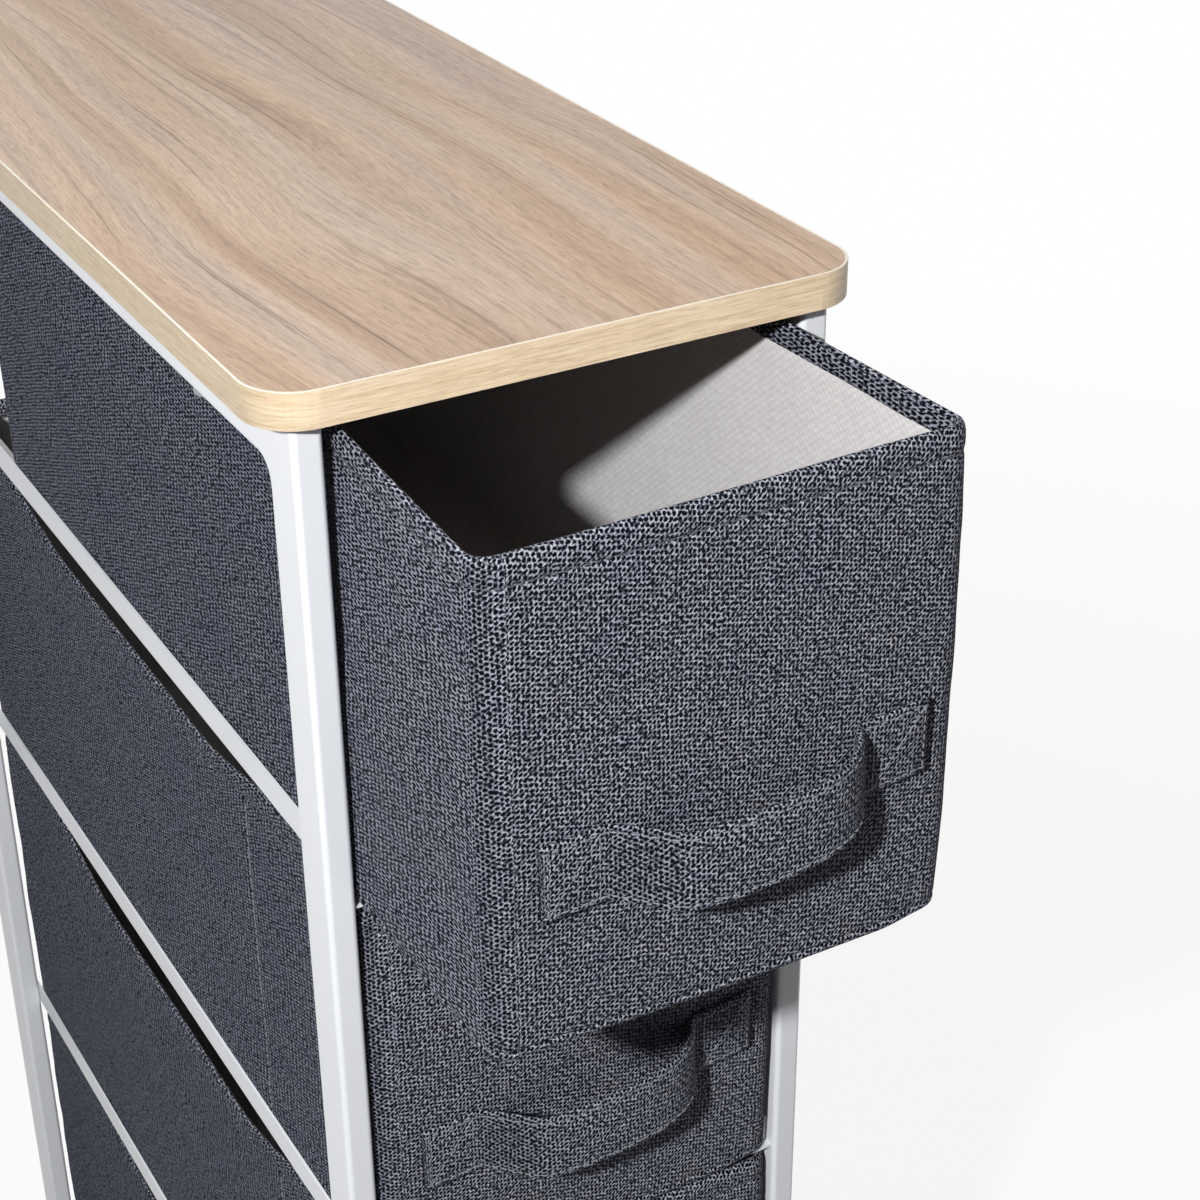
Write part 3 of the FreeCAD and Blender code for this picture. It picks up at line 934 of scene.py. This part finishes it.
def make_strap(number, frames, material):
    ring = strap_ring()
    count = len(ring)
    points, faces, places = [], [], []
    run = 0.0
    runs = []
    for i, (middle, outward, upward) in enumerate(frames):
        if i:
            run += (middle - frames[i - 1][0]).length
        runs.append(run)
        for up, out in ring:
            points.append((middle + upward * up + outward * (out * STRAP_THICK / 2.5)) * MM)
    girth = [0.0]
    for a, b in zip(ring, ring[1:] + ring[:1]):
        girth.append(girth[-1] + math.hypot(b[0] - a[0], b[1] - a[1]))
    for i in range(len(frames) - 1):
        for j in range(count):
            k = (j + 1) % count
            faces.append((i * count + j, (i + 1) * count + j, (i + 1) * count + k, i * count + k))
            places += [
                (runs[i], girth[j]),
                (runs[i + 1], girth[j]),
                (runs[i + 1], girth[j + 1]),
                (runs[i], girth[j + 1]),
            ]
    last = (len(frames) - 1) * count
    faces.append(tuple(range(count)))
    places += [(up, out) for up, out in ring]
    faces.append(tuple(last + j for j in range(count - 1, -1, -1)))
    places += [(up, out) for up, out in ring[::-1]]
    strap = mesh_object(f"drawer_{number}_strap", points, faces)
    lay_cloth(strap, places)
    shade_smooth(strap)
    strap.data.materials.append(material)
    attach(strap, f"drawer_{number}")
    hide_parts(f"drawer_{number}_handle")


def make_strap_stitches(number, frames, thread):
    """Two rows along the strap, and a box with one slanting row on each sewn end."""
    points, faces = [], []
    rows = (-STRAP_HALF + STRAP_SEAM, STRAP_HALF - STRAP_SEAM)
    outwards = [outward for _, outward, _ in frames]
    for up in rows:
        line = [middle + upward * up + outward * 1.0 for middle, outward, upward in frames]
        for start, end in walk(line, length=2.3, gap=0.7):
            nearest = min(range(len(line)), key=lambda i: (line[i] - start).length)
            add_stitch(points, faces, start, end, outwards[nearest], 0.24)
    for low, high in ((0, 4), (-5, -1)):
        first, final = frames[low], frames[high]
        corners = []
        for (middle, outward, upward), shift in ((first, 1.6), (final, -1.6)):
            for up in rows:
                corners.append((middle + Vector((shift, 0, 0)) + upward * up + outward * 1.2, outward))
        for a, b in ((0, 1), (2, 3), (0, 3)):
            for start, end in walk([corners[a][0], corners[b][0]], length=2.3, gap=0.7):
                add_stitch(points, faces, start, end, corners[a][1], 0.24)
    stitches = mesh_object(f"drawer_{number}_strap_stitches", points, faces)
    shade_smooth(stitches)
    stitches.data.materials.append(thread)
    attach(stitches, f"drawer_{number}")


def make_handle(number, front, base, material, thread):
    frames = strap_frames(number, front, base)
    make_strap(number, frames, material)
    make_strap_stitches(number, frames, thread)


# Materials of the solid pieces, and the welds' inner rounding


def make_welds(side, material):
    """Rounded welds in the two corners under one top side rail, level with the tubes' rounded edges."""
    sign = -1 if side == "left" else 1
    rail_low, rail_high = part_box(f"top_rail_{side}")
    inner, outer = sorted((abs(rail_low.x) / MM, abs(rail_high.x) / MM))
    # How far the welds reach into the tubes, so that their backs never show
    sunk = 2.2
    points, faces = [], []
    for end, facing in (("front", 1), ("back", -1)):
        post_low, post_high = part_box(f"{end}_post_{side}")
        y = (post_high.y if facing > 0 else post_low.y) / MM
        z = post_high.z / MM - RAIL_HEIGHT
        rows = []
        for i in range(7):
            angle = math.radians(15 * i)
            rows.append((outer - TUBE_EDGE + WELD_EDGE * math.sin(angle), WELD_EDGE * (1 - math.cos(angle))))
        rows.insert(0, (inner + 2.0, 0.0))
        first, count = len(points), 14
        for x, back in rows:
            for i in range(11):
                angle = math.radians(9 * i)
                r = WELD + back
                out = WELD - r * math.cos(angle)
                down = WELD - r * math.sin(angle)
                points.append(Vector((sign * x, y + facing * out, z - down)) * MM)
            for out, down in ((WELD, -sunk), (-sunk, -sunk), (-sunk, WELD)):
                points.append(Vector((sign * x, y + facing * out, z - down)) * MM)
        for i in range(len(rows) - 1):
            for j in range(count):
                a, b = first + i * count + j, first + i * count + (j + 1) % count
                faces.append((a, b, b + count, a + count))
        last = first + (len(rows) - 1) * count
        faces.append(tuple(first + j for j in range(count - 1, -1, -1)))
        faces.append(tuple(last + j for j in range(count)))
    welds = mesh_object(f"welds_{side}", points, faces)
    welds.data.polygons.foreach_set("use_smooth", [len(face) == 4 for face in faces])
    welds.data.materials.append(material)
    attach(welds, "frame")


def finish_solids():
    """Materials for the solids that stay in view. The last key that a node's name holds decides."""
    steel = paint_material("white_steel", 0.78)
    # Painted shade: the same white powder coat, a little darker, for the runners
    shaded_steel = paint_material("white_steel_painted_shade", 0.75)
    laminate = laminate_material()
    band = band_material()
    zinc = zinc_material()
    plastic = plastic_material()
    fibre = board_material("fibreboard", (0.20, 0.13, 0.08), (0.34, 0.24, 0.16))
    chosen = {
        "runner": shaded_steel,
        "top_board": laminate,
        "edge_band": band,
        "foot": plastic,
        "bolt": zinc,
        "screw": zinc,
        "_base": fibre,
    }
    for name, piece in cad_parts.items():
        material = steel
        for key, value in chosen.items():
            if key in name:
                material = value
        if piece.material_slots:
            for slot in piece.material_slots:
                slot.material = material
        else:
            piece.data.materials.append(material)
    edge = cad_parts["edge_band"]
    weld = edge.modifiers.new("weld", "WELD")
    weld.merge_threshold = 0.01 * MM
    rounding = edge.modifiers.new("rounding", "BEVEL")
    rounding.width = 0.22 * MM
    rounding.segments = 3
    rounding.limit_method = "ANGLE"
    rounding.angle_limit = math.radians(50)
    for side in ("left", "right"):
        make_welds(side, steel)


make_camera()
make_surroundings()
finish_solids()
cloth = woven_material("fabric_weave", 0.76)
strap_cloth = woven_material("strap_weave", 0.73)
felt = lining_material()
dark_thread = thread_material("hem_thread", (0.10, 0.105, 0.13))
card = board_material("cardboard", (0.30, 0.24, 0.17), (0.44, 0.37, 0.28))
pale_thread = thread_material("strap_thread", (0.30, 0.31, 0.35))
for number in (1, 2, 3, 4):
    low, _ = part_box(f"drawer_{number}_cover")
    front, base = low.y / MM, low.z / MM
    make_cover(number, front, base, cloth)
    make_lining(number, front, base, felt)
    make_stiffener(number, front, base, card, True)
    make_stiffener(number, front, base, card, False)
    make_hem_stitches(number, front, base, dark_thread)
    make_side_seams(number, front, base, pale_thread)
    make_handle(number, front, base, strap_cloth, pale_thread)
